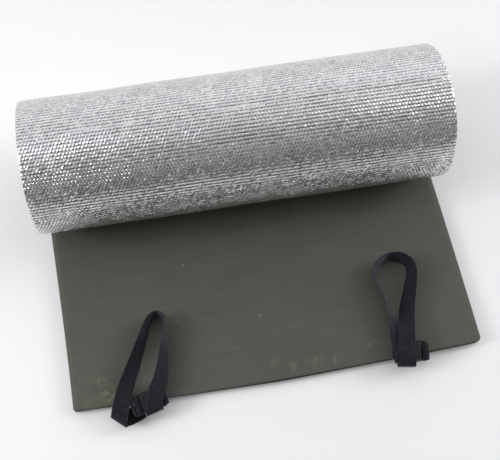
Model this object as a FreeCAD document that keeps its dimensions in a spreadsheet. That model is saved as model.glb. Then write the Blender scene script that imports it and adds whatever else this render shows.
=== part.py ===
"""Foil-backed foam sleeping pad, partly unrolled, with two buckled webbing straps.

Frame: +X along the roll, -Y towards the free end of the pad, +Z up.  The origin is on the
underside, on the pad's centre line and halfway along the stretch that lies flat.
"""
import math
import os

import FreeCAD
import Part
import Sketcher  # noqa: F401  (registers the sketch objects made below)

Vec = FreeCAD.Vector
Z_AXIS = Vec(0, 0, 1)

doc = FreeCAD.newDocument("sleeping_pad")

# ---------------------------------------------------------------- driving dimensions (mm)
DIMENSIONS = [
    ("pad_width", 500.0, "across the pad, which is the roll's length"),
    ("pad_length", 2000.0, "whole pad, unrolled"),
    ("foam_thick", 9.7, "closed-cell foam"),
    ("foil_thick", 0.3, "embossed foil laminate on the outside of the roll"),
    ("flat_length", 280.0, "from the free edge to where the roll leaves the ground"),
    ("roll_radius", 85.0, "outside of the outermost half turn"),
    ("layer_pitch", 10.3, "growth of the roll for each turn, with a small air gap"),
    ("bend_line_y", 23.0, "line about which the free end lifts"),
    ("web_width", 20.0, "strap webbing"),
    ("web_thick", 1.2, "strap webbing"),
    ("buckle_half", 21.0, "from the buckle's middle to either end"),
    ("buckle_width", 24.0, "across the buckle"),
    ("housing_height", 7.5, "female half, outside"),
    ("housing_end", 12.0, "closed end of the female housing, from the middle"),
    ("mouth_gap", 3.0, "mouth of the female housing, short of the middle"),
    ("wall", 1.5, "plastic wall of the housing"),
    ("rail_base", 0.5, "underside of the rails above the buckle's underside"),
    ("rail_height", 4.5, "thickness of rails and bars"),
    ("slot_width", 21.5, "webbing slots, across the buckle"),
    ("end_bar", 3.4, "end bar of either half, along the buckle"),
    ("corner_round", 4.0, "outline corners of both halves"),
]

sheet = doc.addObject("Spreadsheet::Sheet", "Dimensions")
for row, (alias, value, note) in enumerate(DIMENSIONS, start=1):
    sheet.set("A%d" % row, alias)
    sheet.set("B%d" % row, str(value))
    sheet.set("C%d" % row, note)
    sheet.setAlias("B%d" % row, alias)
doc.recompute()


def dim(alias):
    """A driving dimension read back from the sheet, as a plain number."""
    return float(sheet.get(alias))


def origin_plane(body, role):
    """One of a body's own origin planes."""
    return next(f for f in body.Origin.OriginFeatures if f.Role == role)


def new_body(name):
    """A PartDesign body whose label is its node's name."""
    body = doc.addObject("PartDesign::Body", name)
    body.Label = name
    return body


def new_sketch(body, name, role, offset=0.0):
    """A sketch on one of the body's origin planes, shifted along the plane's normal."""
    sketch = body.newObject("Sketcher::SketchObject", name)
    sketch.AttachmentSupport = [(origin_plane(body, role), "")]
    sketch.MapMode = "FlatFace"
    sketch.AttachmentOffset = FreeCAD.Placement(Vec(0, 0, offset), FreeCAD.Rotation())
    return sketch


# ---------------------------------------------------------------- the pad
def roll_arcs():
    """Half turns of the pad's outer face, from the ground inwards: (centre z, radius, sweep).

    Each half turn is half a pitch smaller than the one before and meets it tangentially on the
    roll's vertical centre line.  The last one stops where the pad's length is used up.
    """
    middle = (dim("foam_thick") + dim("foil_thick")) / 2
    left_to_roll = dim("pad_length") - dim("flat_length")
    radius = dim("roll_radius")
    low, high = 0.0, 2 * radius
    arcs = []
    while left_to_roll > 1.0:
        sweep = min(math.pi, left_to_roll / (radius - middle))
        climbing = len(arcs) % 2 == 0
        arcs.append((low + radius if climbing else high - radius, radius, sweep))
        left_to_roll -= sweep * (radius - middle)
        radius -= dim("layer_pitch") / 2
        if climbing:
            low = high - 2 * radius
        else:
            high = low + 2 * radius
    return arcs


def face_curves(depth, start_y):
    """Line and arcs of the surface that lies depth inside the pad's outer face."""
    roll_y = dim("flat_length") / 2
    curves = []
    if start_y is not None:
        curves.append(Part.LineSegment(Vec(start_y, depth, 0), Vec(roll_y, depth, 0)))
    for index, (centre_z, radius, sweep) in enumerate(roll_arcs()):
        start = -math.pi / 2 if index % 2 == 0 else math.pi / 2
        circle = Part.Circle(Vec(roll_y, centre_z, 0), Z_AXIS, radius - depth)
        curves.append(Part.ArcOfCircle(circle, start, start + sweep))
    return curves


def rolled_layer(name, outer, inner):
    """The rolled part of one layer of the pad, between two depths from its outer face."""
    body = new_body(name)
    sketch = new_sketch(body, name + "_section", "YZ_Plane")
    bend_y = dim("bend_line_y")
    outside = face_curves(outer, bend_y)
    inside = face_curves(inner, bend_y)
    sketch.addGeometry(outside, False)
    sketch.addGeometry(inside, False)
    first = Part.LineSegment(Vec(bend_y, outer, 0), Vec(bend_y, inner, 0))
    last = Part.LineSegment(outside[-1].value(outside[-1].LastParameter),
                            inside[-1].value(inside[-1].LastParameter))
    sketch.addGeometry([first, last], False)
    pad_feature(body, sketch, name + "_pad", "Dimensions.pad_width")
    return body


def flat_layer(name, outer, inner):
    """The free end of one layer of the pad, from the free edge to the bend line."""
    body = new_body(name)
    sketch = new_sketch(body, name + "_section", "YZ_Plane")
    rectangle(sketch, -dim("flat_length") / 2, outer, dim("bend_line_y"), inner)
    pad_feature(body, sketch, name + "_pad", "Dimensions.pad_width")
    return body


def rectangle(sketch, left, low, right, high):
    """Four joined lines."""
    corners = [Vec(left, low, 0), Vec(right, low, 0), Vec(right, high, 0), Vec(left, high, 0)]
    for k in range(4):
        sketch.addGeometry(Part.LineSegment(corners[k], corners[(k + 1) % 4]), False)


def pad_feature(body, sketch, name, length, symmetric=True):
    """A pad of a sketch, with its length bound to the sheet."""
    pad = body.newObject("PartDesign::Pad", name)
    pad.Profile = sketch
    pad.setExpression("Length", length)
    if symmetric:
        pad.SideType = "Symmetric"
    return pad


foil_depth = dim("foil_thick")
pad_depth = dim("foil_thick") + dim("foam_thick")
rolled_layer("foam_roll", foil_depth, pad_depth)
rolled_layer("foil_roll", 0.0, foil_depth)
flat_layer("foam_end", foil_depth, pad_depth)
flat_layer("foil_end", 0.0, foil_depth)


# ---------------------------------------------------------------- side-release buckle
# In a buckle's own frame +X runs from the ladder end to the female end, +Y points towards the
# roll and Z = 0 is its underside.
MOUTH = -dim("mouth_gap")
HALF = dim("buckle_half")
HALF_WIDTH = dim("buckle_width") / 2
CAVITY_HALF = 9.6
CAVITY_END = 10.0
WINDOW = (0.5, 8.5)
FEMALE_SLOT = (13.0, HALF - dim("end_bar"))
LADDER_SLOTS = [(-HALF + dim("end_bar"), -14.0), (-11.8, -8.8)]
SHOULDER = (-8.2, -3.3)
SHOULDER_HEIGHT = 7.0
TONGUE = (-3.3, 8.0)
TONGUE_HALF = 2.0
TONGUE_LEVELS = (2.7, 4.8)
PRONG_LEVELS = (1.9, 5.6)
PRONG_CLEARANCE = 0.4


def rounded_outline(sketch, x_square, x_round, half_width, radius):
    """An outline with square corners at one end and rounded ones at the other."""
    side = 1 if x_round > x_square else -1
    x_arc = x_round - side * radius
    y_arc = half_width - radius
    sketch.addGeometry(Part.LineSegment(Vec(x_square, -half_width, 0), Vec(x_arc, -half_width, 0)), False)
    sketch.addGeometry(Part.LineSegment(Vec(x_square, half_width, 0), Vec(x_arc, half_width, 0)), False)
    sketch.addGeometry(Part.LineSegment(Vec(x_square, -half_width, 0), Vec(x_square, half_width, 0)), False)
    sketch.addGeometry(Part.LineSegment(Vec(x_round, -y_arc, 0), Vec(x_round, y_arc, 0)), False)
    for sign in (-1, 1):
        circle = Part.Circle(Vec(x_arc, sign * y_arc, 0), Z_AXIS, radius)
        axis_turn = 0.0 if side > 0 else math.pi
        side_turn = sign * math.pi / 2
        if side < 0 and sign < 0:
            side_turn = 3 * math.pi / 2
        low, high = sorted((axis_turn, side_turn))
        sketch.addGeometry(Part.ArcOfCircle(circle, low, high), False)


def box_pad(body, name, x_span, y_half, base, height):
    """A rectangular block added to a body."""
    sketch = new_sketch(body, name + "_sketch", "XY_Plane", base)
    rectangle(sketch, x_span[0], -y_half, x_span[1], y_half)
    return pad_feature(body, sketch, name, str(height), symmetric=False)


def box_pocket(body, name, x_span, y_half, base, height):
    """A rectangular pocket cut upwards from a level inside a body."""
    sketch = new_sketch(body, name + "_sketch", "XY_Plane", base)
    rectangle(sketch, x_span[0], -y_half, x_span[1], y_half)
    pocket = body.newObject("PartDesign::Pocket", name)
    pocket.Profile = sketch
    pocket.Reversed = True
    pocket.setExpression("Length", str(height))
    return pocket


def female_half(name):
    """Housing with side windows, two rails and the bar that holds the fixed end of the strap."""
    body = new_body(name)
    rails = new_sketch(body, name + "_rail_sketch", "XY_Plane", dim("rail_base"))
    rounded_outline(rails, dim("housing_end") - 1.0, HALF, HALF_WIDTH, dim("corner_round"))
    pad_feature(body, rails, name + "_rails", "Dimensions.rail_height", symmetric=False)
    housing = new_sketch(body, name + "_housing_sketch", "XY_Plane")
    rectangle(housing, MOUTH, -HALF_WIDTH, dim("housing_end"), HALF_WIDTH)
    pad_feature(body, housing, name + "_housing", "Dimensions.housing_height", symmetric=False)
    cavity_height = dim("housing_height") - 2 * dim("wall")
    box_pocket(body, name + "_slot", FEMALE_SLOT, dim("slot_width") / 2, 0.0, dim("housing_height"))
    box_pocket(body, name + "_cavity", (MOUTH - 1, CAVITY_END), CAVITY_HALF, dim("wall"), cavity_height)
    box_pocket(body, name + "_windows", WINDOW, HALF_WIDTH + 1, dim("wall"), cavity_height)
    return body


def male_half(name):
    """Ladder with two bars, shoulder and the tongue that guides it into the housing."""
    body = new_body(name)
    rails = new_sketch(body, name + "_rail_sketch", "XY_Plane", dim("rail_base"))
    rounded_outline(rails, SHOULDER[0] + 1.0, -HALF, HALF_WIDTH, dim("corner_round"))
    pad_feature(body, rails, name + "_ladder", "Dimensions.rail_height", symmetric=False)
    box_pad(body, name + "_shoulder", SHOULDER, HALF_WIDTH, 0.0, SHOULDER_HEIGHT)
    box_pad(body, name + "_tongue", (TONGUE[0] - 1, TONGUE[1]), TONGUE_HALF,
            TONGUE_LEVELS[0], TONGUE_LEVELS[1] - TONGUE_LEVELS[0])
    for number, span in enumerate(LADDER_SLOTS, start=1):
        box_pocket(body, "%s_slot_%d" % (name, number), span, dim("slot_width") / 2,
                   0.0, SHOULDER_HEIGHT)
    return body


def prong(name, side):
    """One sprung prong: an arm from the shoulder with a finger pad that fills a side window."""
    body = new_body(name)
    sketch = new_sketch(body, name + "_sketch", "XY_Plane", PRONG_LEVELS[0])
    root = SHOULDER[1] + PRONG_CLEARANCE
    tip = WINDOW[1] - 2 * PRONG_CLEARANCE
    outline = [(root, 6.0), (tip, 6.0), (tip, 12.0), (6.0, 12.8), (3.0, 12.2), (1.5, 9.4), (root, 8.4)]
    points = [Vec(x, side * y, 0) for x, y in outline]
    for k in range(len(points)):
        sketch.addGeometry(Part.LineSegment(points[k], points[(k + 1) % len(points)]), False)
    pad_feature(body, sketch, name + "_pad", str(PRONG_LEVELS[1] - PRONG_LEVELS[0]), symmetric=False)
    return body


# Where each buckle lies: its middle as (x, distance in from the free edge, underside z) and
# the turn of its long axis from +X, in degrees.
BUCKLE_SEATS = {
    "left": (-156.0, -5.0, 13.8, 12.0),
    "right": (163.5, 1.0, 16.8, -10.0),
}


def buckle_placement(side):
    """The placement of every piece of one buckle."""
    x, inset, base, turn = BUCKLE_SEATS[side]
    spot = Vec(x, inset - dim("flat_length") / 2, base)
    return FreeCAD.Placement(spot, FreeCAD.Rotation(Z_AXIS, turn))


for side in BUCKLE_SEATS:
    pieces = [female_half("buckle_female_" + side), male_half("buckle_male_" + side),
              prong("prong_rear_" + side, 1), prong("prong_front_" + side, -1)]
    for piece in pieces:
        piece.Placement = buckle_placement(side)


# ---------------------------------------------------------------- strap webbing
# A strap is one length of webbing, given by rulings across it.  A ruling is (x, inset from the
# free edge, z, plan direction of the width, tilt of the width, skew): the width points to the
# edge of the band that is outermost in the loop, tilt 90 stands the band on edge, and skew is
# how far a ruling is turned from square to the band, as along a diagonal fold.
def on_buckle(side, s, q, z, turn, skew=0.0):
    """A ruling given in the frame of a buckle, with z measured from the ground."""
    x, inset, _, axis = BUCKLE_SEATS[side]
    c, k = math.cos(math.radians(axis)), math.sin(math.radians(axis))
    return (x + s * c - q * k, inset + s * k + q * c, z, axis + turn, 0.0, skew)


def tuck(side, way, s, level, outside=0.0, lean=0.0):
    """The webbing from the top of the buckle round its near side, folded and round an end bar.

    way is +1 towards the female end and -1 towards the ladder end.  outside is the room left
    for another layer of webbing between this one and the buckle, and lean turns the top layer
    from square to the buckle, in degrees.
    """
    base = BUCKLE_SEATS[side][2]
    across = 0.0 if way > 0 else 180.0
    fold = 45.0 if way > 0 else 135.0
    upper = level + 1.5
    shift = 0.8
    slope = math.tan(math.radians(lean))
    reach = 14.6 + 2.2 * outside
    rulings = [on_buckle(side, s + 22.0 * slope, 10.0, base + 8.9 + outside, across - lean),
               on_buckle(side, s + 1.2 * slope, -11.8, base + 8.9 + outside, across - 0.4 * lean, 0.4 * lean),
               on_buckle(side, s, 0.5 - reach, base + 7.6 + 0.6 * outside, across, 0.7 * lean),
               on_buckle(side, s, -reach, (base + level) / 2 + 2.0, across, 0.6 * lean),
               on_buckle(side, s, 1.0 - reach, level + 0.9, across, 0.4 * lean),
               on_buckle(side, s, 3.0 - reach, level, across),
               on_buckle(side, s + way * shift, -shift, level, fold, 45.0),
               on_buckle(side, s - way * 0.3, 0.3, (level + upper) / 2, fold, 45.0),
               on_buckle(side, s + way * shift, -shift, upper, fold, 45.0)]
    bar = [(19.6, upper), (21.5, upper + 0.8), (22.2, base + 2.7), (21.5, base + 5.5),
           (19.3, base + 6.1), (17.0, base + 5.6), (16.3, base + 3.5), (16.2, base + 1.0)]
    rulings += [on_buckle(side, way * along, 0.0, z, 90.0) for along, z in bar]
    return rulings


def ladder_entry(side, level):
    """The webbing from below the ladder, over the middle bar and out as a short tail."""
    base = BUCKLE_SEATS[side][2]
    path = [(-14.0, level + 0.1), (-16.0, level + 1.2), (-16.3, base + 0.6), (-15.7, base + 3.0),
            (-15.2, base + 5.4), (-13.0, base + 6.4), (-10.9, base + 5.6), (-10.3, base + 3.0),
            (-10.3, base + 0.5), (-9.4, base - 0.9), (-8.2, base - 1.1), (-7.0, base - 1.1)]
    return [on_buckle(side, along, 0.0, z, 90.0) for along, z in path]


LEFT_FIXED_LEG = [
    (-176.5, 22.5, 19.8, 172, 26, 0),
    (-170.0, 36.0, 18.0, 178, 32, 0),
    (-164.0, 48.5, 17.8, 182, 43, 0),
    (-157.0, 63.0, 18.4, 185, 51, 0),
    (-150.5, 77.0, 18.9, 196, 57, 0),
    (-144.5, 88.0, 19.6, 192, 64, 0),
    (-138.5, 94.5, 20.2, 150, 72, 0),
    (-131.5, 96.5, 20.4, 95, 76, 0),
    (-125.5, 92.0, 20.3, 35, 76, 0),
    (-123.8, 84.0, 20.2, -15, 74, 0),
    (-126.0, 70.0, 19.8, -25, 67, 0),
    (-128.0, 61.0, 19.4, -28, 60, 0),
    (-131.0, 46.0, 18.8, -20, 48, 0),
    (-134.4, 31.0, 19.2, -17, 36, 0),
    (-138.4, 17.0, 21.4, -16, 18, 0),
]
LEFT_ADJUSTING_LEG = [
    (-176.7, 22.1, 19.8, 172, 26, 0),
    (-181.0, 11.5, 21.4, 168, 15, 0),
    (-185.0, 0.5, 22.6, 164, 4, 0),
    (-189.2, -11.5, 21.4, 150, 0, 16),
    (-192.4, -20.0, 16.6, 138, 0, 26),
    (-193.4, -22.4, 13.2, 138, 0, 26),
    (-192.3, -21.4, 9.9, 138, 0, 26),
    (-188.5, -19.6, 9.7, 124, 0, 12),
    (-184.0, -18.8, 9.7, 112, 0, 0),
    (-163.6, -12.0, 9.7, 94, 0, 18),
    (-162.4, -11.6, 10.45, 94, 0, 18),
    (-163.6, -12.0, 11.2, 94, 0, 18),
]
RIGHT_FIXED_LEG = [
    (151.0, 32.0, 18.4, 180, 40, 0),
    (151.5, 42.0, 18.2, 192, 50, 0),
    (149.5, 53.0, 19.3, 202, 62, 0),
    (148.5, 67.0, 19.8, 207, 65, 0),
    (146.5, 81.0, 19.9, 209, 66, 0),
    (143.0, 95.0, 20.0, 200, 67, 0),
    (143.0, 107.0, 20.1, 160, 70, 0),
    (153.0, 117.0, 20.2, 120, 72, 0),
    (167.0, 122.0, 20.2, 98, 72, 0),
    (180.0, 119.5, 20.0, 65, 70, 0),
    (189.0, 110.0, 19.8, 20, 66, 0),
    (190.0, 98.5, 19.4, -20, 60, 0),
    (186.0, 87.0, 18.9, -25, 52, 0),
    (181.5, 75.5, 18.4, -24, 45, 0),
    (176.4, 63.0, 18.0, -20, 38, 0),
    (170.8, 47.0, 18.6, -16, 27, 0),
    (165.6, 31.0, 23.2, -14, 14, 0),
    (162.7, 20.0, 27.2, -12, 4, 0),
]
RIGHT_ADJUSTING_LEG = [
    (151.0, 31.6, 18.5, 180, 40, 0),
    (151.3, 24.0, 22.2, 180, 20, 0),
    (151.4, 17.5, 24.7, 183, 6, 0),
]

UNDER_LEVEL = 11.2
STRAPS = {
    "webbing_left": LEFT_FIXED_LEG + tuck("left", 1, 3.6, UNDER_LEVEL, 0.0, 28.0),
    "webbing_end_left": LEFT_ADJUSTING_LEG + ladder_entry("left", UNDER_LEVEL),
    "webbing_right": RIGHT_FIXED_LEG + tuck("right", 1, -5.2, UNDER_LEVEL, 1.8),
    "webbing_end_right": RIGHT_ADJUSTING_LEG + tuck("right", -1, -9.0, UNDER_LEVEL + 2.9, 0.0, -13.0),
}


def band_sections(rulings):
    """A rectangle across the webbing at each ruling."""
    centres = []
    widths = []
    for x, inset, z, turn, tilt, skew in rulings:
        centres.append(Vec(x, inset - dim("flat_length") / 2, z))
        length = dim("web_width") / math.cos(math.radians(skew))
        flat = math.cos(math.radians(tilt))
        widths.append(Vec(flat * math.cos(math.radians(turn)), flat * math.sin(math.radians(turn)),
                          math.sin(math.radians(tilt))) * length)
    sections = []
    last = len(rulings) - 1
    for k, (centre, width) in enumerate(zip(centres, widths)):
        before = (centre - centres[k - 1]).normalize() if k > 0 else Vec(0, 0, 0)
        after = (centres[k + 1] - centre).normalize() if k < last else Vec(0, 0, 0)
        square = Vec(width).normalize()
        along = before + after
        along = along - square * along.dot(square)
        normal = square.cross(along).normalize() * (dim("web_thick") / 2)
        half = width * 0.5
        corners = [centre - half - normal, centre + half - normal,
                   centre + half + normal, centre - half + normal]
        sections.append(Part.makePolygon(corners + [corners[0]]))
    return sections


for name, rulings in STRAPS.items():
    webbing = doc.addObject("Part::Feature", name)
    webbing.Label = name
    webbing.Shape = Part.makeLoft(band_sections(rulings), True, True)

doc.recompute()


# ---------------------------------------------------------------- checks and export
def is_node(obj):
    """Bodies and free-standing features are nodes; everything else only helps to build them."""
    return obj.isDerivedFrom("PartDesign::Body") or obj.TypeId == "Part::Feature"


for obj in doc.Objects:
    if "Invalid" in obj.State or "Error" in obj.State:
        raise RuntimeError("%s failed: %s" % (obj.Label, obj.State))

nodes = [obj for obj in doc.Objects if is_node(obj)]
os.makedirs("parts", exist_ok=True)
for node in nodes:
    shape = node.Shape
    if shape.isNull() or not shape.isValid():
        raise RuntimeError("%s has no valid shape" % node.Label)
    shape.exportStep("parts/%s.step" % node.Label)
    print("%-22s %10.1f mm3  %d solid(s)" % (node.Label, shape.Volume, len(shape.Solids)))
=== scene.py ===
"""Foil-backed foam sleeping pad, partly unrolled, with two buckled webbing straps.

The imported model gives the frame: +X along the roll, -Y towards the free edge, +Z up, metres.
One foam sheet and one foil laminate follow the pad's own path from the free edge into the roll,
the webbing follows the rulings that the CAD model uses, and the buckles are the CAD nodes.
"""
import math

import bpy
import numpy as np
from mathutils import Matrix, Vector


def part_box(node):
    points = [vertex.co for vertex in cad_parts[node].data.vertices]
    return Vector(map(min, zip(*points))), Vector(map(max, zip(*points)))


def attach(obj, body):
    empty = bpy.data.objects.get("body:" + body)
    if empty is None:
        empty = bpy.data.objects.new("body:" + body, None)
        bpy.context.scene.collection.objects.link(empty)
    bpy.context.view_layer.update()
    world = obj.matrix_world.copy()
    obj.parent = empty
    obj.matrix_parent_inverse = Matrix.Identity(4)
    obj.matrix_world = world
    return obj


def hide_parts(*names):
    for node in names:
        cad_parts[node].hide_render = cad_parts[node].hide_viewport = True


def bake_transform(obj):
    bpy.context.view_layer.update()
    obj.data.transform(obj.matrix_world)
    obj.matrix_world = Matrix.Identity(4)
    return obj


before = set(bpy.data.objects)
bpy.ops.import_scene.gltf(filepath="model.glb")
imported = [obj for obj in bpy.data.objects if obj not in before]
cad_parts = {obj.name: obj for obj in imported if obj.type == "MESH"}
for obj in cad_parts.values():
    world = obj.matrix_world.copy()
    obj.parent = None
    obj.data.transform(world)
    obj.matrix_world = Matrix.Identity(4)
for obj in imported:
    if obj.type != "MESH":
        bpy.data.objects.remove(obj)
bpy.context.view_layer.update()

MM = 0.001

# ---------------------------------------------------------------- sizes from the frame
END_LOW, END_HIGH = (Vector(corner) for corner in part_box("foam_end"))
_, FOIL_HIGH = (Vector(corner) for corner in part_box("foil_roll"))
PAD_HALF = END_HIGH.x
FOAM_TOP = END_HIGH.z
FOIL_THICK = END_LOW.z
FOAM_THICK = FOAM_TOP - FOIL_THICK
MIDDLE = (FOAM_THICK + FOIL_THICK) / 2   # depth at which the pad's length is true
EDGE_Y = END_LOW.y
ROLL_RADIUS = FOIL_HIGH.z / 2
ROLL_Y = FOIL_HIGH.y - ROLL_RADIUS

PAD_LENGTH = 2.0
FLAT_LENGTH = ROLL_Y - EDGE_Y
LAYER_PITCH = 10.3 * MM

# How this pad differs from a perfect one.
EDGE_SHIFT = 5.8 * MM           # the free edge lies this far to +X of the pad's own line
ROLL_SHIFT = -3.6 * MM          # and the roll this far to -X
SHIFT_PAST_FLAT = 0.15          # the pad goes on shifting this far into the roll
ROLL_CONE = 1.5 * MM            # the roll is wound looser towards +X
ROLL_WOBBLE = 0.55 * MM         # and a little unevenly
WOBBLE_SIZE = 0.16              # wavelength of that unevenness
WOBBLE_TURN = 0.09              # distance that a radian round the roll counts for in it
WOBBLE_LOW = 0.02               # the wobble starts at this height
WOBBLE_RISE = 0.05              # and is full this much higher
EDGE_BULGE = 5.5 * MM           # the middle of the free edge stands out past its corners,
BULGE_ROUNDING = 0.004          # with a peak that is rounded by this much
CORNER_LIFT = 2.5 * MM          # the free corner at +X has stayed a little curled,
CURL_RUN = 0.09                 # over this length
CURL_ACROSS = 0.07              # and this width
CORNER_CUTS = (2.5 * MM, 5.5 * MM)  # rounding of the free corners at -X and +X
TELESCOPE = 1.1 * MM            # inner turns lie a little to either side of the outer ones,
TELESCOPE_START = 0.5           # from this far past the flat stretch
TELESCOPE_LENGTH = 0.4
TELESCOPE_RATE = 2.4            # radians of their swing for each TELESCOPE_LENGTH

# Seeds of the random draws.
WOBBLE_SEED = 5
STRAY_SEED = 11
UNEVEN_SEED = 13
DENT_SEED = 21


# ---------------------------------------------------------------- small helpers
def smooth(value):
    """0 to 1 with level ends."""
    t = np.clip(value, 0.0, 1.0)
    return t * t * (3 - 2 * t)


def waves(x, y, seed, size, octaves=2):
    """A smooth random surface between about -1 and 1, made of sine waves in seeded directions."""
    rng = np.random.default_rng(seed)
    total = np.zeros(np.broadcast(x, y).shape)
    weight = 0.0
    for octave in range(octaves):
        strength = 0.5 ** octave
        for _ in range(5):
            turn, phase = rng.uniform(0, 2 * math.pi, 2)
            step = 2 * math.pi * 2 ** octave / size * rng.uniform(0.7, 1.3)
            total += strength * np.sin(step * (x * math.cos(turn) + y * math.sin(turn)) + phase)
        weight += strength * 5 ** 0.5
    return total / weight


def mesh_object(name, points, faces, shade=True):
    """A mesh object from points, or an array of them, and a list of faces."""
    mesh = bpy.data.meshes.new(name)
    mesh.from_pydata(np.asarray(points).tolist(), [], faces)
    mesh.validate()
    mesh.update()
    if shade:
        mesh.polygons.foreach_set("use_smooth", [True] * len(mesh.polygons))
    piece = bpy.data.objects.new(name, mesh)
    bpy.context.collection.objects.link(piece)
    return piece


def grid_faces(rows, columns, closed=False, flip=False):
    """Quads over a grid of points stored row by row; closed joins the last column to the first."""
    row = np.arange(rows - 1)[:, None]
    column = np.arange(columns if closed else columns - 1)[None, :]
    after = (column + 1) % columns
    corner = row * columns + column
    quads = np.stack([corner, row * columns + after, (row + 1) * columns + after,
                      corner + columns], axis=-1).reshape(-1, 4)
    return (quads[:, ::-1] if flip else quads).tolist()


def tube_faces(rows, columns):
    """Faces of a closed tube over a grid of points, with a cap over the first row and the last."""
    faces = grid_faces(rows, columns, closed=True)
    faces.append(list(range(columns)))
    faces.append([(rows - 1) * columns + k for k in reversed(range(columns))])
    return faces


def uv_map(piece, u, v):
    """A UV map in metres, from u and v at each vertex."""
    layer = piece.data.uv_layers.new(name="UVMap")
    loops = np.empty(len(piece.data.loops), dtype=int)
    piece.data.loops.foreach_get("vertex_index", loops)
    coordinates = np.stack([u.ravel(), v.ravel()], axis=-1)
    layer.data.foreach_set("uv", coordinates[loops].ravel())


# ---------------------------------------------------------------- the pad's path
def pad_path():
    """Half turns of the pad's outer face: (start distance, centre z, radius, start angle)."""
    arcs = []
    run, radius, low, high = FLAT_LENGTH, ROLL_RADIUS, 0.0, 2 * ROLL_RADIUS
    while run < PAD_LENGTH:
        climbing = len(arcs) % 2 == 0
        centre = low + radius if climbing else high - radius
        arcs.append((run, centre, radius, -math.pi / 2 if climbing else math.pi / 2))
        run += math.pi * (radius - MIDDLE)
        radius -= LAYER_PITCH / 2
        if climbing:
            low = high - 2 * radius
        else:
            high = low + 2 * radius
    return np.array(arcs)


ARCS = pad_path()


def pad_points(run, across, depth):
    """Points of the pad, from three arrays of one shape in metres.

    run is from the free edge along the pad's middle, across is over its width, and depth is in
    from the foil.
    """
    cut = np.where(across > 0, CORNER_CUTS[1], CORNER_CUTS[0])
    cut_back = cut - np.sqrt(np.clip(cut ** 2 - np.clip(cut - run, 0, None) ** 2, 0, None))
    across = across * (1 - cut_back / PAD_HALF)
    index = np.searchsorted(ARCS[:, 0], run, side="right") - 1
    rolled = index >= 0
    start, centre, radius, first = np.moveaxis(ARCS[np.maximum(index, 0)], -1, 0)
    angle = first + (run - start) / (radius - MIDDLE)
    reach = radius - depth
    y = np.where(rolled, ROLL_Y + reach * np.cos(angle), EDGE_Y + run)
    z = np.where(rolled, centre + reach * np.sin(angle), depth)
    # the roll's cone: every layer grows about the roll's axis, and the ground stays level
    growth = ROLL_CONE * across / PAD_HALF
    from_axis = np.stack([y - ROLL_Y, z - ROLL_RADIUS]) / ROLL_RADIUS
    share = np.where(rolled, 1.0, 0.0)
    y = y + share * growth * from_axis[0]
    z = z + share * growth * (from_axis[1] + 1.0)
    # soft unevenness of a hand-wound roll, the same for every layer so that none meets the next
    round_roll = WOBBLE_TURN * np.arctan2(from_axis[0], -from_axis[1])
    wobble = ROLL_WOBBLE * waves(across, round_roll, WOBBLE_SEED, WOBBLE_SIZE)
    high_up = smooth((z - WOBBLE_LOW) / WOBBLE_RISE)
    y = y + share * high_up * wobble * from_axis[0]
    z = z + share * high_up * wobble * from_axis[1]
    # the flat stretch: bulging free edge, a lifted corner, and the shear towards the roll
    near_edge = np.clip(1 - run / (0.5 * FLAT_LENGTH), 0, 1) ** 2
    peak = 1 - np.sqrt((across / PAD_HALF) ** 2 + BULGE_ROUNDING)
    y = y - EDGE_BULGE * near_edge * np.clip(peak, 0, 1)
    to_corner = np.clip((across - PAD_HALF + CURL_ACROSS) / CURL_ACROSS, 0, 1)
    corner = np.clip(1 - run / CURL_RUN, 0, 1) * to_corner
    z = z + CORNER_LIFT * corner ** 1.5
    towards_roll = smooth(run / (FLAT_LENGTH + SHIFT_PAST_FLAT))
    shift = EDGE_SHIFT + (ROLL_SHIFT - EDGE_SHIFT) * towards_roll
    turns = np.clip(run - FLAT_LENGTH - TELESCOPE_START, 0, None) / TELESCOPE_LENGTH
    shift = shift + TELESCOPE * np.sin(TELESCOPE_RATE * turns) * smooth(turns)
    return np.stack([across + shift, y, z], axis=-1)


# ---------------------------------------------------------------- foam
FOAM_EDGE = 1.0 * MM            # rounding of the foam's edges
FOAM_FLAT = 0.34                # to here the foam's rows are spaced for the flat stretch


def foam_sheet():
    """One closed solid over the whole length, with slightly rounded edges."""
    edge = FOAM_EDGE
    ends = np.array([0, 0.3 * edge, edge, 2.2 * MM, 4 * MM, 6.5 * MM, 9 * MM])
    runs = np.concatenate([ends, np.linspace(12 * MM, FOAM_FLAT, 60),
                           np.linspace(FOAM_FLAT, PAD_LENGTH - ends[-1], 290)[1:],
                           PAD_LENGTH - ends[::-1][1:]])
    widths = np.linspace(-PAD_HALF, PAD_HALF, 70)[1:-1]
    rim = [(PAD_HALF - 0.3 * edge, FOAM_TOP - 0.3 * edge), (PAD_HALF, FOAM_TOP - edge),
           (PAD_HALF, FOIL_THICK + edge), (PAD_HALF - 0.3 * edge, FOIL_THICK + 0.3 * edge)]
    section = [(x, FOAM_TOP) for x in widths] + rim + [(x, FOIL_THICK) for x in widths[::-1]]
    section = np.array(section + [(-x, depth) for x, depth in rim[::-1]])
    run, across = np.meshgrid(runs, section[:, 0], indexing="ij")
    depth = np.broadcast_to(section[:, 1], run.shape)
    to_end = np.minimum(run, PAD_LENGTH - run)
    inset = edge - np.sqrt(np.clip(edge ** 2 - np.clip(edge - to_end, 0, None) ** 2, 0, None))
    depth = np.clip(depth, FOIL_THICK + inset, FOAM_TOP - inset)
    points = pad_points(run, across, depth).reshape(-1, 3)
    piece = mesh_object("foam_pad", points, tube_faces(*run.shape))
    uv_map(piece, across, run)
    piece.data.materials.append(foam_material())
    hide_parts("foam_roll", "foam_end")
    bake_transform(piece)


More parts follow.
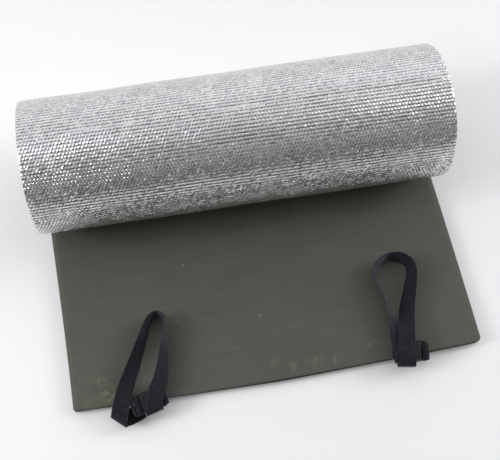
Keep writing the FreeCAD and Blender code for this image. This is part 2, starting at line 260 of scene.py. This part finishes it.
# ---------------------------------------------------------------- foil
DASH = 4.0 * MM                 # pitch of the embossed dashes, both ways
EMBOSS_ROW = 0.55 * MM          # height of the rows over the grooves between them
EMBOSS_DASH = 0.29 * MM         # and of the dashes over the gaps in a row
EMBOSS_BASE = 0.22 * MM         # keeps the deepest groove above the foam
DENTS = 0.085 * MM              # spread of the small dents
STRAY = 0.07                    # share of a dash by which the dashes wander along a row,
STRAY_SIZE = 0.045              # and over what distance
UNEVEN = 0.12                   # share by which the embossing's height varies,
UNEVEN_SIZE = 0.06              # and over what distance
GROOVE_SHADE_TOP = 0.25 * MM          # painted shade: the foil's colour darkens below this height
GROOVE_SHADE_DEPTH = 0.45 * MM        # and is darkest this much lower
SKIN_SPAN = (0.30, 0.80)        # the stretch that shows, about, from the free edge
COARSE = 10 * MM                # spacing across the stretches that don't show


def emboss(run, across):
    """How far the embossed dashes stand out: rows along the roll, each staggered from the next."""
    row = np.floor(run / DASH + 1e-6)
    stray = STRAY * waves(across, run, STRAY_SEED, STRAY_SIZE)
    stagger = 0.5 * (row % 2)
    ridge = -np.cos(2 * math.pi * (run / DASH - row))
    dash = np.cos(2 * math.pi * (across / DASH + stagger + stray))
    dent = np.random.default_rng(DENT_SEED).normal(0, DENTS, run.shape)
    strength = 1 + UNEVEN * waves(across, run, UNEVEN_SEED, UNEVEN_SIZE)
    pattern = EMBOSS_ROW * ridge * 0.5 + EMBOSS_DASH * dash * (0.6 + 0.4 * ridge)
    height = strength * pattern + dent
    return np.maximum(height + EMBOSS_BASE, -0.6 * FOIL_THICK)


def foil_strip(name, first, last, step, spacing, embossed):
    """The foil between two distances from the free edge, its side edges turned onto the foam."""
    runs = np.linspace(first, last, int(round((last - first) / step)) + 1)
    widths = np.linspace(-PAD_HALF, PAD_HALF, int(round(2 * PAD_HALF / spacing)) + 1)
    run, across = np.meshgrid(runs, widths, indexing="ij")
    height = emboss(run, across) if embossed else np.zeros(run.shape)
    depth = -height
    depth[:, (0, -1)] = 0.9 * FOIL_THICK     # the side edges
    points = pad_points(run, across, depth).reshape(-1, 3)
    piece = mesh_object(name, points, grid_faces(*run.shape, flip=True), shade=not embossed)
    # painted shade: a weight at each point for darkening the foil's colour in the grooves
    groove_shade = piece.data.attributes.new("groove_shade", "FLOAT", "POINT")
    groove_shade.data.foreach_set("value", smooth((GROOVE_SHADE_TOP - height) / GROOVE_SHADE_DEPTH).ravel())
    uv_map(piece, across, run)
    piece.data.materials.append(foil_material(embossed))
    return piece


def foil():
    """The laminate in three stretches: under the free end, round the outside, and wound inside."""
    skin_start, skin_end = (DASH * round(end / DASH) for end in SKIN_SPAN)
    under = foil_strip("foil_under", 0.0, skin_start, 5 * MM, COARSE, embossed=False)
    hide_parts("foil_end")
    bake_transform(under)
    skin = foil_strip("foil_skin", skin_start, skin_end, DASH / 3, DASH / 2, embossed=True)
    core = foil_strip("foil_core", skin_end, PAD_LENGTH, 4 * MM, COARSE, embossed=False)
    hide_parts("foil_roll")
    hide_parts("foil_roll")
    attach(skin, "roll")
    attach(core, "roll")


# ---------------------------------------------------------------- materials
def new_material(name, color, roughness, metallic=0.0):
    """A Principled material and the tools to add nodes to it."""
    material = bpy.data.materials.new(name)
    material.use_nodes = True
    shader = material.node_tree.nodes["Principled BSDF"]
    shader.inputs["Base Color"].default_value = (*color, 1)
    shader.inputs["Roughness"].default_value = roughness
    shader.inputs["Metallic"].default_value = metallic
    return material, material.node_tree, shader


def node(tree, kind, inputs=None, **settings):
    """A node with its settings and its inputs, each a value or another node's output."""
    made = tree.nodes.new(kind)
    for key, value in settings.items():
        setattr(made, key, value)
    for key, value in (inputs or {}).items():
        if isinstance(value, bpy.types.NodeSocket):
            tree.links.new(value, made.inputs[key])
        else:
            made.inputs[key].default_value = value
    return made


def math_node(tree, operation, *values, clamp=False):
    """The output of a Math node over values or sockets."""
    made = tree.nodes.new("ShaderNodeMath")
    made.operation = operation
    made.use_clamp = clamp
    for k, value in enumerate(values):
        if isinstance(value, bpy.types.NodeSocket):
            tree.links.new(value, made.inputs[k])
        else:
            made.inputs[k].default_value = value
    return made.outputs[0]


def uv_scaled(tree, scale):
    """The UV map in metres, scaled."""
    source = node(tree, "ShaderNodeUVMap", uv_map="UVMap").outputs["UV"]
    made = node(tree, "ShaderNodeMapping", {"Vector": source, "Scale": (*scale, 1)})
    return made.outputs["Vector"]


def noise(tree, scale, detail=3.0, stretch=(1, 1), roughness=0.55):
    """Noise over the UV map; scale is in cells for each metre."""
    where = uv_scaled(tree, (scale * stretch[0], scale * stretch[1]))
    made = node(tree, "ShaderNodeTexNoise", {"Vector": where, "Scale": 1.0, "Detail": detail,
                                             "Roughness": roughness})
    return made.outputs["Fac"]


def ramp(tree, value, low, high):
    """A value mapped from low..high to 0..1, clamped."""
    made = node(tree, "ShaderNodeMapRange", {"Value": value, "From Min": low, "From Max": high})
    return made.outputs["Result"]


def mix(tree, factor, first, second):
    """A colour mix; the factor and the colours are values or sockets."""
    made = tree.nodes.new("ShaderNodeMix")
    made.data_type = "RGBA"
    for key, value in ((0, factor), (6, first), (7, second)):
        if isinstance(value, bpy.types.NodeSocket):
            tree.links.new(value, made.inputs[key])
        elif key == 0:
            made.inputs[key].default_value = value
        else:
            made.inputs[key].default_value = (*value, 1)
    return made.outputs[2]


def bump(tree, shader, height, distance, strength=1.0):
    """A bump on the shader's normal, height 0..1 standing for distance in metres."""
    made = node(tree, "ShaderNodeBump",
                {"Height": height, "Distance": distance, "Strength": strength})
    tree.links.new(made.outputs["Normal"], shader.inputs["Normal"])


def foil_material(embossed):
    """Aluminium film with fine crinkles; the embossed stretch has painted shade in its grooves, and
    the stretches without modelled dashes get them as bump.
    """
    name = "foil_embossed" if embossed else "foil_plain"
    if name in bpy.data.materials:
        return bpy.data.materials[name]
    material, tree, shader = new_material(name, (0.87, 0.87, 0.86), 0.3, 1.0)
    crinkle = noise(tree, 520, 4.0)
    patches = noise(tree, 24, 2.0)
    rough = math_node(tree, "ADD", math_node(tree, "MULTIPLY", patches, 0.14), 0.20)
    tree.links.new(rough, shader.inputs["Roughness"])
    dull = ramp(tree, noise(tree, 60, 3.0), 0.35, 0.7)
    tint = mix(tree, dull, (0.90, 0.90, 0.895), (0.80, 0.80, 0.80))
    if embossed:
        groove_shade = node(tree, "ShaderNodeAttribute", attribute_name="groove_shade").outputs["Fac"]
        # painted shade: the foil's colour is darkened in the grooves
        tint = mix(tree, math_node(tree, "MULTIPLY", groove_shade, 0.92), tint, (0.20, 0.20, 0.215))
    tree.links.new(tint, shader.inputs["Base Color"])
    height = crinkle
    if not embossed:
        bricks = node(tree, "ShaderNodeTexBrick", {
            "Vector": uv_scaled(tree, (1, 1)), "Color1": (1, 1, 1, 1), "Color2": (0.8, 0.8, 0.8, 1),
            "Mortar": (0, 0, 0, 1), "Scale": 1.0, "Mortar Size": 0.3 * DASH, "Mortar Smooth": 1.0,
            "Brick Width": DASH, "Row Height": DASH})
        faint = math_node(tree, "MULTIPLY", crinkle, 0.4)
        height = math_node(tree, "ADD", faint, bricks.outputs["Color"])
    bump(tree, shader, height, 0.12 * MM, 0.8)
    return material


# Marks on the foam, as (across, run, half length, half width, turn, lightness), in mm and degrees:
# scuffs by the free corner at -X, scuffs along the free edge, then specks and faint patches.
FOAM_MARKS = [
    (-209, 18, 13, 12, 60, 0.34), (-213, 30, 9, 6, 0, 0.42), (-205, 8, 16, 9, 70, 0.26),
    (-222, 8, 20, 11, 10, 0.20), (-240, 18, 14, 12, 0, 0.14), (-228, 36, 18, 10, 20, 0.12),
    (-5, 21, 9, 8, 0, 0.20), (15, 14, 10, 7, 60, 0.30), (9, 9, 2.4, 1.8, 20, -0.35),
    (43, 13, 15, 9, 5, 0.20), (72, 19, 6, 3.5, 10, 0.32), (67, 11, 1.6, 10, -8, 0.26),
    (99, 4, 7, 3, 10, 0.22), (115, 21, 9, 3.5, 14, 0.30),
    (-94, 157, 2, 2, 0, 0.6), (-12, 78, 2.4, 2, 0, 0.5), (40, 60, 60, 10, 5, 0.06),
    (-120, 90, 70, 12, -12, 0.06), (190, 60, 40, 14, 60, 0.06), (53, 211, 2.4, 1.8, 0, -0.9),
    (-150, 150, 50, 16, 20, 0.05),
]
LONGEST_SPECK = 5       # a pale mark of a greater half length is broken up into flecks


def foam_marks(tree, where):
    """Light scuffs and dark specks as one value, positive where the foam is paler."""
    broken = ramp(tree, noise(tree, 130, 5.0, roughness=0.7), 0.42, 0.62)
    total = None
    for across, run, length, width, turn, strength in FOAM_MARKS:
        place = node(tree, "ShaderNodeMapping", {
            "Vector": where, "Location": (across * MM, run * MM, 0),
            "Rotation": (0, 0, math.radians(turn)),
            "Scale": (length * MM, width * MM, 1)}, vector_type="TEXTURE").outputs["Vector"]
        distance = node(tree, "ShaderNodeVectorMath", {0: place}, operation="LENGTH")
        inside = ramp(tree, distance.outputs["Value"], 1.0, 0.25)
        if strength > 0 and length > LONGEST_SPECK:
            inside = math_node(tree, "MULTIPLY", inside, broken)
        mark = math_node(tree, "MULTIPLY", inside, strength)
        total = mark if total is None else math_node(tree, "ADD", total, mark)
    return total


def foam_material():
    """Olive closed-cell foam: fine skin, faint streaks across the pad, scuffs and specks."""
    material, tree, shader = new_material("foam", (0.09, 0.10, 0.078), 0.8)
    shader.inputs["Specular IOR Level"].default_value = 0.35
    shader.inputs["Sheen Weight"].default_value = 0.12
    shader.inputs["Sheen Roughness"].default_value = 0.5
    where = uv_scaled(tree, (1, 1))
    cloudy = ramp(tree, noise(tree, 16, 3.0), 0.3, 0.7)
    streaks = noise(tree, 9, 4.0, stretch=(1, 55), roughness=0.65)
    speckle = noise(tree, 900, 2.0)
    pale = math_node(tree, "ADD", math_node(tree, "MULTIPLY", cloudy, 0.30),
                     math_node(tree, "MULTIPLY", ramp(tree, streaks, 0.3, 0.7), 0.40))
    pale = math_node(tree, "ADD", pale, math_node(tree, "MULTIPLY", speckle, 0.30), clamp=True)
    ground = mix(tree, pale, (0.066, 0.071, 0.057), (0.107, 0.115, 0.092))
    marks = foam_marks(tree, where)
    scuffed = math_node(tree, "MAXIMUM", marks, 0.0, clamp=True)
    lighter = mix(tree, scuffed, ground, (0.32, 0.325, 0.17))
    dark = math_node(tree, "MULTIPLY", marks, -1.0, clamp=True)
    tree.links.new(mix(tree, dark, lighter, (0.01, 0.01, 0.01)), shader.inputs["Base Color"])
    rough = math_node(tree, "ADD", math_node(tree, "MULTIPLY", cloudy, 0.12), 0.70)
    tree.links.new(rough, shader.inputs["Roughness"])
    height = math_node(tree, "ADD", math_node(tree, "MULTIPLY", noise(tree, 700, 3.0), 0.5),
                       math_node(tree, "MULTIPLY", streaks, 1.2))
    bump(tree, shader, height, 0.25 * MM, 0.6)
    return material


# ---------------------------------------------------------------- strap webbing
# This section works in mm until the points are handed to Blender.
WEB_WIDTH = 20.0
WEB_THICK = 1.2
STATION_STEP = 0.9              # greatest distance between stations along a band
SEAM_STEP = 0.06                # two more stations lie this far to either side of the seam
SECTION_CELLS = 36
RIBS = 4.5                      # ribs over half the webbing's width
PICK_HEIGHT = 0.035             # the woven picks across the webbing
PICK_PITCH = 2.2
FACE_SHARE = 0.955              # share of the width that is flat, before the rounded edges
UNDER_LEVEL = 11.2              # height of the lowest layer of webbing on the foam
LAYER_STEP = 1.5                # height from a folded layer to the next one
FOLD_STEP = 0.8                 # distance of a fold's rulings from its corner
WRAP_REACH = 14.6               # distance of the wrap from the buckle's middle line

# Where each buckle sits, as in the CAD model: (x, inset from the free edge, z, turn in degrees).
BUCKLE_SEATS = {"left": (-156.0, -5.0, 13.8, 12.0), "right": (163.5, 1.0, 16.8, -10.0)}

# Rulings across the webbing, as in the CAD model: (x, inset from the free edge, z, plan direction
# of the width, tilt of the width, skew).  The width points to the loop's outer edge.
LONG_LEG = {
    "left": [
        (-176.5, 22.5, 19.8, 172, 26, 0), (-170.0, 36.0, 18.0, 178, 32, 0),
        (-164.0, 48.5, 17.8, 182, 43, 0), (-157.0, 63.0, 18.4, 185, 51, 0),
        (-150.5, 77.0, 18.9, 196, 57, 0), (-144.5, 88.0, 19.6, 192, 64, 0),
        (-138.5, 94.5, 20.2, 150, 72, 0), (-131.5, 96.5, 20.4, 95, 76, 0),
        (-125.5, 92.0, 20.3, 35, 76, 0), (-123.8, 84.0, 20.2, -15, 74, 0),
        (-126.0, 70.0, 19.8, -25, 67, 0), (-128.0, 61.0, 19.4, -28, 60, 0),
        (-131.0, 46.0, 18.8, -20, 48, 0), (-134.4, 31.0, 19.2, -17, 36, 0),
        (-138.4, 17.0, 21.4, -16, 18, 0)],
    "right": [
        (151.0, 32.0, 18.4, 180, 40, 0), (151.5, 42.0, 18.2, 192, 50, 0),
        (149.5, 53.0, 19.3, 202, 62, 0), (148.5, 67.0, 19.8, 207, 65, 0),
        (146.5, 81.0, 19.9, 209, 66, 0), (143.0, 95.0, 20.0, 200, 67, 0),
        (143.0, 107.0, 20.1, 160, 70, 0), (153.0, 117.0, 20.2, 120, 72, 0),
        (167.0, 122.0, 20.2, 98, 72, 0), (180.0, 119.5, 20.0, 65, 70, 0),
        (189.0, 110.0, 19.8, 20, 66, 0), (190.0, 98.5, 19.4, -20, 60, 0),
        (186.0, 87.0, 18.9, -25, 52, 0), (181.5, 75.5, 18.4, -24, 45, 0),
        (176.4, 63.0, 18.0, -20, 38, 0), (170.8, 47.0, 18.6, -16, 27, 0),
        (165.6, 31.0, 23.2, -14, 14, 0), (162.7, 20.0, 27.2, -12, 4, 0)],
}
SHORT_LEG = {
    "left": [
        (-181.0, 11.5, 21.4, 168, 15, 0), (-185.0, 0.5, 22.6, 164, 4, 0),
        (-189.2, -11.5, 21.4, 150, 0, 16), (-192.4, -20.0, 16.6, 138, 0, 26),
        (-193.4, -22.4, 13.2, 138, 0, 26), (-192.3, -21.4, 9.9, 138, 0, 26),
        (-188.5, -19.6, 9.7, 124, 0, 12), (-184.0, -18.8, 9.7, 112, 0, 0),
        (-163.6, -12.0, 9.7, 94, 0, 18), (-162.4, -11.6, 10.45, 94, 0, 18),
        (-163.6, -12.0, 11.2, 94, 0, 18)],
    "right": [(151.3, 24.0, 22.2, 180, 20, 0), (151.4, 17.5, 24.7, 183, 6, 0)],
}
FAR_BEND = {"left": 7, "right": 8}      # the ruling of LONG_LEG at which the two pieces meet
WEAVE_PITCHES = (1.1, 1.5)      # the finer weave in the material, across and along


def on_buckle(side, s, q, z, turn, skew=0.0):
    """A ruling given in the frame of a buckle, with z measured from the ground."""
    x, inset, _, axis = BUCKLE_SEATS[side]
    c, k = math.cos(math.radians(axis)), math.sin(math.radians(axis))
    return (x + s * c - q * k, inset + s * k + q * c, z, axis + turn, 0.0, skew)


def tuck(side, way, s, level, outside=0.0, lean=0.0):
    """The webbing from the top of the buckle round its near side, folded and round an end bar.

    way is 1 for the female end's bar and -1 for the male end's, s is the place along the buckle,
    level is the height of the lowest layer, outside moves the wrap out to clear another one, and
    lean turns the top layer from square to the buckle, in degrees.
    """
    base = BUCKLE_SEATS[side][2]
    across = 0.0 if way > 0 else 180.0
    fold = 45.0 if way > 0 else 135.0
    upper = level + LAYER_STEP
    top = base + 8.9 + outside
    shift = FOLD_STEP
    slope = math.tan(math.radians(lean))
    reach = WRAP_REACH + 2.2 * outside
    rulings = [on_buckle(side, s + 22.0 * slope, 10.0, top, across - lean),
               on_buckle(side, s + 1.2 * slope, -11.8, top, across - 0.4 * lean, 0.4 * lean),
               on_buckle(side, s, 0.5 - reach, base + 7.6 + 0.6 * outside, across, 0.7 * lean),
               on_buckle(side, s, -reach, (base + level) / 2 + 2.0, across, 0.6 * lean),
               on_buckle(side, s, 1.0 - reach, level + 0.9, across, 0.4 * lean),
               on_buckle(side, s, 3.0 - reach, level, across),
               on_buckle(side, s + way * shift, -shift, level, fold, 45.0),
               on_buckle(side, s - way * 0.3, 0.3, (level + upper) / 2, fold, 45.0),
               on_buckle(side, s + way * shift, -shift, upper, fold, 45.0)]
    bar = [(19.6, upper), (21.5, upper + 0.8), (22.2, base + 2.7), (21.5, base + 5.5),
           (19.3, base + 6.1), (17.0, base + 5.6), (16.3, base + 3.5), (16.2, base + 1.0)]
    return rulings + [on_buckle(side, way * along, 0.0, z, 90.0) for along, z in bar]


def ladder_entry(side, level):
    """The webbing from below the ladder, over the middle bar and out as a short tail."""
    base = BUCKLE_SEATS[side][2]
    path = [(-14.0, level + 0.1), (-16.0, level + 1.2), (-16.3, base + 0.6), (-15.7, base + 3.0),
            (-15.2, base + 5.4), (-13.0, base + 6.4), (-10.9, base + 5.6), (-10.3, base + 3.0),
            (-10.3, base + 0.5), (-9.4, base - 0.9), (-8.2, base - 1.1), (-7.0, base - 1.1)]
    return [on_buckle(side, along, 0.0, z, 90.0) for along, z in path]


def through(values, at, samples):
    """A smooth curve through values at increasing parameters, read at the samples."""
    slopes = np.gradient(values, at, axis=0)
    index = np.clip(np.searchsorted(at, samples, side="right") - 1, 0, len(at) - 2)
    span = (at[index + 1] - at[index])[:, None]
    t = (samples - at[index])[:, None] / span
    start, end = values[index], values[index + 1]
    leaving, arriving = slopes[index], slopes[index + 1]
    return ((2 * t ** 3 - 3 * t ** 2 + 1) * start + (t ** 3 - 2 * t ** 2 + t) * span * leaving
            + (3 * t ** 2 - 2 * t ** 3) * end + (t ** 3 - t ** 2) * span * arriving)


def band_stations(rulings, seam):
    """Centre, half width, normal and distance at each station of a band, and the seam's distance.

    Two stations lie close to the ruling where the band's two pieces meet, so that both pieces have
    the same normals there and the seam doesn't show.
    """
    table = np.array(rulings, dtype=float)
    centres = table[:, :3] + np.array([0.0, EDGE_Y / MM, 0.0])
    turn, tilt, skew = np.radians(table[:, 3:]).T
    ways = np.stack([np.cos(tilt) * np.cos(turn), np.cos(tilt) * np.sin(turn), np.sin(tilt)],
                    axis=-1)
    halves = ways * (WEB_WIDTH / 2 / np.cos(skew))[:, None]
    at = np.concatenate([[0.0], np.cumsum(np.linalg.norm(np.diff(centres, axis=0), axis=1))])
    counts = [max(2, int(np.ceil((b - a) / STATION_STEP))) for a, b in zip(at[:-1], at[1:])]
    samples = np.concatenate([np.linspace(a, b, count, endpoint=False)
                              for a, b, count in zip(at[:-1], at[1:], counts)] + [at[-1:]])
    samples = np.sort(np.append(samples, at[seam] + np.array([-SEAM_STEP, SEAM_STEP])))
    middle = through(centres, at, samples)
    half = through(halves, at, samples)
    size = np.linalg.norm(through(np.linalg.norm(halves, axis=1)[:, None], at, samples), axis=1)
    half *= (size / np.linalg.norm(half, axis=1))[:, None]
    along = np.gradient(middle, samples, axis=0)
    normal = np.cross(half, along)
    normal /= np.linalg.norm(normal, axis=1)[:, None]
    return middle, half, normal, samples, at[seam]


def web_section():
    """The webbing's cross-section: (share of the half width, height), with woven ribs."""
    share = np.linspace(-FACE_SHARE, FACE_SHARE, SECTION_CELLS + 1)
    selvedge = np.exp(-((np.abs(share) - 0.9) / 0.06) ** 2)
    ribs = np.cos(2 * math.pi * share * RIBS)
    height = WEB_THICK / 2 * (0.90 + 0.07 * ribs + 0.06 * selvedge)
    side = [(0.985, 0.42 * WEB_THICK), (1.0, 0.0), (0.985, -0.42 * WEB_THICK)]
    top = list(zip(share, height))
    return np.array(top + side + [(s, -h) for s, h in top[::-1]] + [(-s, -h) for s, h in side])


def webbing(name, stations, first, last, material):
    """A band of webbing between two stations, as a closed solid."""
    middle, half, normal, samples = (part[first:last + 1] for part in stations[:4])
    section = web_section()
    pick = PICK_HEIGHT * np.sin(2 * math.pi * samples / PICK_PITCH)[:, None, None]
    pick = pick * np.sign(section[:, 1])[None, :, None]
    points = (middle[:, None] + half[:, None] * section[None, :, :1]
              + normal[:, None] * (section[None, :, 1:] + pick)) * MM
    shape = points.shape[:2]
    piece = mesh_object(name, points.reshape(-1, 3), tube_faces(*shape))
    for cap in piece.data.polygons[-2:]:
        cap.use_smooth = False
    outward = np.broadcast_to(section[:, 0] * WEB_WIDTH / 2, shape) * MM
    run = np.broadcast_to(samples[:, None] * MM, shape)
    uv_map(piece, outward, run)
    piece.data.materials.append(material)
    return piece


def strap_rulings(side):
    """The rulings of one strap, from its adjusting end to its female end, and the seam's index."""
    if side == "left":
        short_end = ladder_entry(side, UNDER_LEVEL)
        long_end = tuck(side, 1, 3.6, UNDER_LEVEL, lean=28.0)
    else:
        short_end = tuck(side, -1, -9.0, UNDER_LEVEL + 2.9, lean=-13.0)
        long_end = tuck(side, 1, -5.2, UNDER_LEVEL, outside=1.8)
    short = SHORT_LEG[side] + short_end
    return short[::-1] + LONG_LEG[side] + long_end, len(short) + FAR_BEND[side]


def strap(side, material):
    """One strap: its long piece to the female end, and its adjusting piece to the ladder."""
    stations = band_stations(*strap_rulings(side))
    samples, seam_at = stations[3:]
    split = int(np.argmin(np.abs(samples - seam_at)))
    adjusting = webbing("webbing_end_" + side, stations, 0, split, material)
    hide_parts("webbing_end_" + side)
    long_piece = webbing("webbing_" + side, stations, split, len(samples) - 1, material)
    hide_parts("webbing_" + side)
    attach(long_piece, "strap_" + side)
    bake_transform(adjusting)


def webbing_material():
    """Near-black woven webbing: a fine weave, a painted highlight along both edges and a little
    fuzz.
    """
    material, tree, shader = new_material("webbing", (0.010, 0.010, 0.013), 0.75)
    shader.inputs["Specular IOR Level"].default_value = 0.2
    shader.inputs["Sheen Weight"].default_value = 0.5
    shader.inputs["Sheen Roughness"].default_value = 0.35
    shader.inputs["Sheen Tint"].default_value = (0.85, 0.87, 1.0, 1)
    parts = node(tree, "ShaderNodeSeparateXYZ", {0: uv_scaled(tree, (1, 1))})
    rates = [2 * math.pi / (pitch * MM) for pitch in WEAVE_PITCHES]
    threads = [math_node(tree, "SINE", math_node(tree, "MULTIPLY", part, rate))
               for part, rate in zip(parts.outputs, rates)]
    weave = math_node(tree, "MULTIPLY", *threads)
    worn = ramp(tree, noise(tree, 220, 4.0), 0.35, 0.75)
    shade = math_node(tree, "ADD", math_node(tree, "MULTIPLY", weave, 0.25),
                      math_node(tree, "MULTIPLY", worn, 0.75), clamp=True)
    face = mix(tree, shade, (0.0085, 0.0082, 0.0115), (0.0210, 0.0205, 0.0290))
    outward = math_node(tree, "ABSOLUTE", parts.outputs[0])
    # painted highlight: the colour is paler along both edges of the band
    selvedge = ramp(tree, outward, 0.46 * WEB_WIDTH * MM, 0.498 * WEB_WIDTH * MM)
    tree.links.new(mix(tree, selvedge, face, (0.034, 0.033, 0.042)), shader.inputs["Base Color"])
    bump(tree, shader, weave, 0.10 * MM, 0.9)
    return material


# ---------------------------------------------------------------- buckles
def plastic_material():
    """Black moulded acetal: a fine moulded grain and a soft, uneven gloss."""
    material, tree, shader = new_material("buckle", (0.016, 0.016, 0.019), 0.42)
    shader.inputs["Specular IOR Level"].default_value = 0.28
    place = node(tree, "ShaderNodeTexCoord").outputs["Object"]
    clouds = [node(tree, "ShaderNodeTexNoise", {"Vector": place, "Scale": scale, "Detail": 3.0})
              for scale in (1600.0, 90.0)]
    grain, smear = (made.outputs["Fac"] for made in clouds)
    rough = math_node(tree, "ADD", math_node(tree, "MULTIPLY", smear, 0.22), 0.30)
    tree.links.new(rough, shader.inputs["Roughness"])
    tint = mix(tree, smear, (0.007, 0.007, 0.009), (0.014, 0.014, 0.018))
    tree.links.new(tint, shader.inputs["Base Color"])
    bump(tree, shader, grain, 0.04 * MM, 0.6)
    return material


def buckles():
    """The CAD nodes of both buckles, with moulded edges."""
    material = plastic_material()
    for label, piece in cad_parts.items():
        if not label.startswith(("buckle_", "prong_")):
            continue
        for mesh_slot in piece.material_slots:
            mesh_slot.link = "OBJECT"
            mesh_slot.material = material
        edge = piece.modifiers.new("moulded_edge", "BEVEL")
        edge.width = 0.45 * MM
        edge.segments = 3
        edge.limit_method = "ANGLE"
        edge.angle_limit = math.radians(35)
        edge.use_clamp_overlap = True


# ---------------------------------------------------------------- floor, light and camera
CAMERA_TURN = (-15.78, 69.10, 6.03)     # azimuth from -Y, elevation and roll, in degrees
CAMERA_AIM = (1.4 * MM, 53.7 * MM, 0)
CAMERA_DISTANCE = 1.0552
CAMERA_LENS = 58.68
FLOOR_HALF = 6
FLOOR_Z = -0.4 * MM             # just clear of the foil
GLINT_COLOR = (0.90, 0.94, 1.0)
LAMPS = [                       # name, place, aim, size, power, colour
    ("left", (-1.7, 0.05, 0.95), (0, 0, 0), 0.6, 15, (1, 1, 1)),
    ("right", (1.9, 0.25, 0.95), (0, 0, 0), 0.8, 15, (1, 1, 1)),
    ("left_glint", (-0.62, 0.12, 0.80), (-0.2, 0.14, 0.17), 0.10, 0.6, GLINT_COLOR),
    ("right_glint", (0.66, 0.12, 0.80), (0.2, 0.14, 0.17), 0.10, 0.2, GLINT_COLOR),
]


def camera():
    """The camera at the photograph's angle, above the free edge and looking down at the roll."""
    azimuth, elevation, roll = (math.radians(v) for v in CAMERA_TURN)
    back = Vector((math.sin(azimuth) * math.cos(elevation),
                   -math.cos(azimuth) * math.cos(elevation), math.sin(elevation)))
    right = (-back).cross(Vector((0, 0, 1))).normalized()
    up = right.cross(-back)
    across = math.cos(roll) * right + math.sin(roll) * up
    upwards = -math.sin(roll) * right + math.cos(roll) * up
    data = bpy.data.cameras.new("camera")
    data.lens = CAMERA_LENS
    data.sensor_width = 36
    eye = bpy.data.objects.new("camera", data)
    place = Matrix((across, upwards, back)).transposed().to_4x4()
    place.translation = Vector(CAMERA_AIM) + CAMERA_DISTANCE * back
    eye.matrix_world = place
    bpy.context.collection.objects.link(eye)
    bpy.context.scene.camera = eye


def floor():
    """A pale floor, big enough for every view."""
    signs = [(-1, -1), (1, -1), (1, 1), (-1, 1)]
    corners = [(FLOOR_HALF * x, FLOOR_HALF * y, FLOOR_Z) for x, y in signs]
    plate = mesh_object("floor", corners, [[0, 1, 2, 3]], shade=False)
    material, _, _ = new_material("floor", (0.97, 0.97, 0.97), 0.9)
    plate.data.materials.append(material)


def area_light(name, place, aim, size, power, color):
    """A square soft light aimed at a point."""
    data = bpy.data.lights.new(name, "AREA")
    data.size = size
    data.energy = power
    data.color = color
    lamp = bpy.data.objects.new(name, data)
    lamp.location = place
    lamp.rotation_euler = (Vector(aim) - Vector(place)).to_track_quat("-Z", "Y").to_euler()
    bpy.context.collection.objects.link(lamp)


def lights():
    """A room that is pale behind the pad and dark in front, two side lamps and two small glints."""
    world = bpy.data.worlds.new("studio")
    world.use_nodes = True
    tree = world.node_tree
    towards = node(tree, "ShaderNodeTexCoord").outputs["Generated"]
    parts = node(tree, "ShaderNodeSeparateXYZ", {0: towards})
    behind = ramp(tree, parts.outputs[1], -0.8, 0.8)
    front_half = mix(tree, ramp(tree, behind, 0.0, 0.5), (0.105, 0.094, 0.084), (0.50, 0.50, 0.52))
    room = mix(tree, ramp(tree, behind, 0.5, 1.0), front_half, (0.89, 0.90, 0.92))
    tree.links.new(room, tree.nodes["Background"].inputs["Color"])
    tree.nodes["Background"].inputs["Strength"].default_value = 1.12
    bpy.context.scene.world = world
    for lamp in LAMPS:
        area_light(*lamp)


bpy.context.scene.view_settings.view_transform = "Standard"
foam_sheet()
foil()
web = webbing_material()
for strap_side in BUCKLE_SEATS:
    strap(strap_side, web)
buckles()
floor()
lights()
camera()
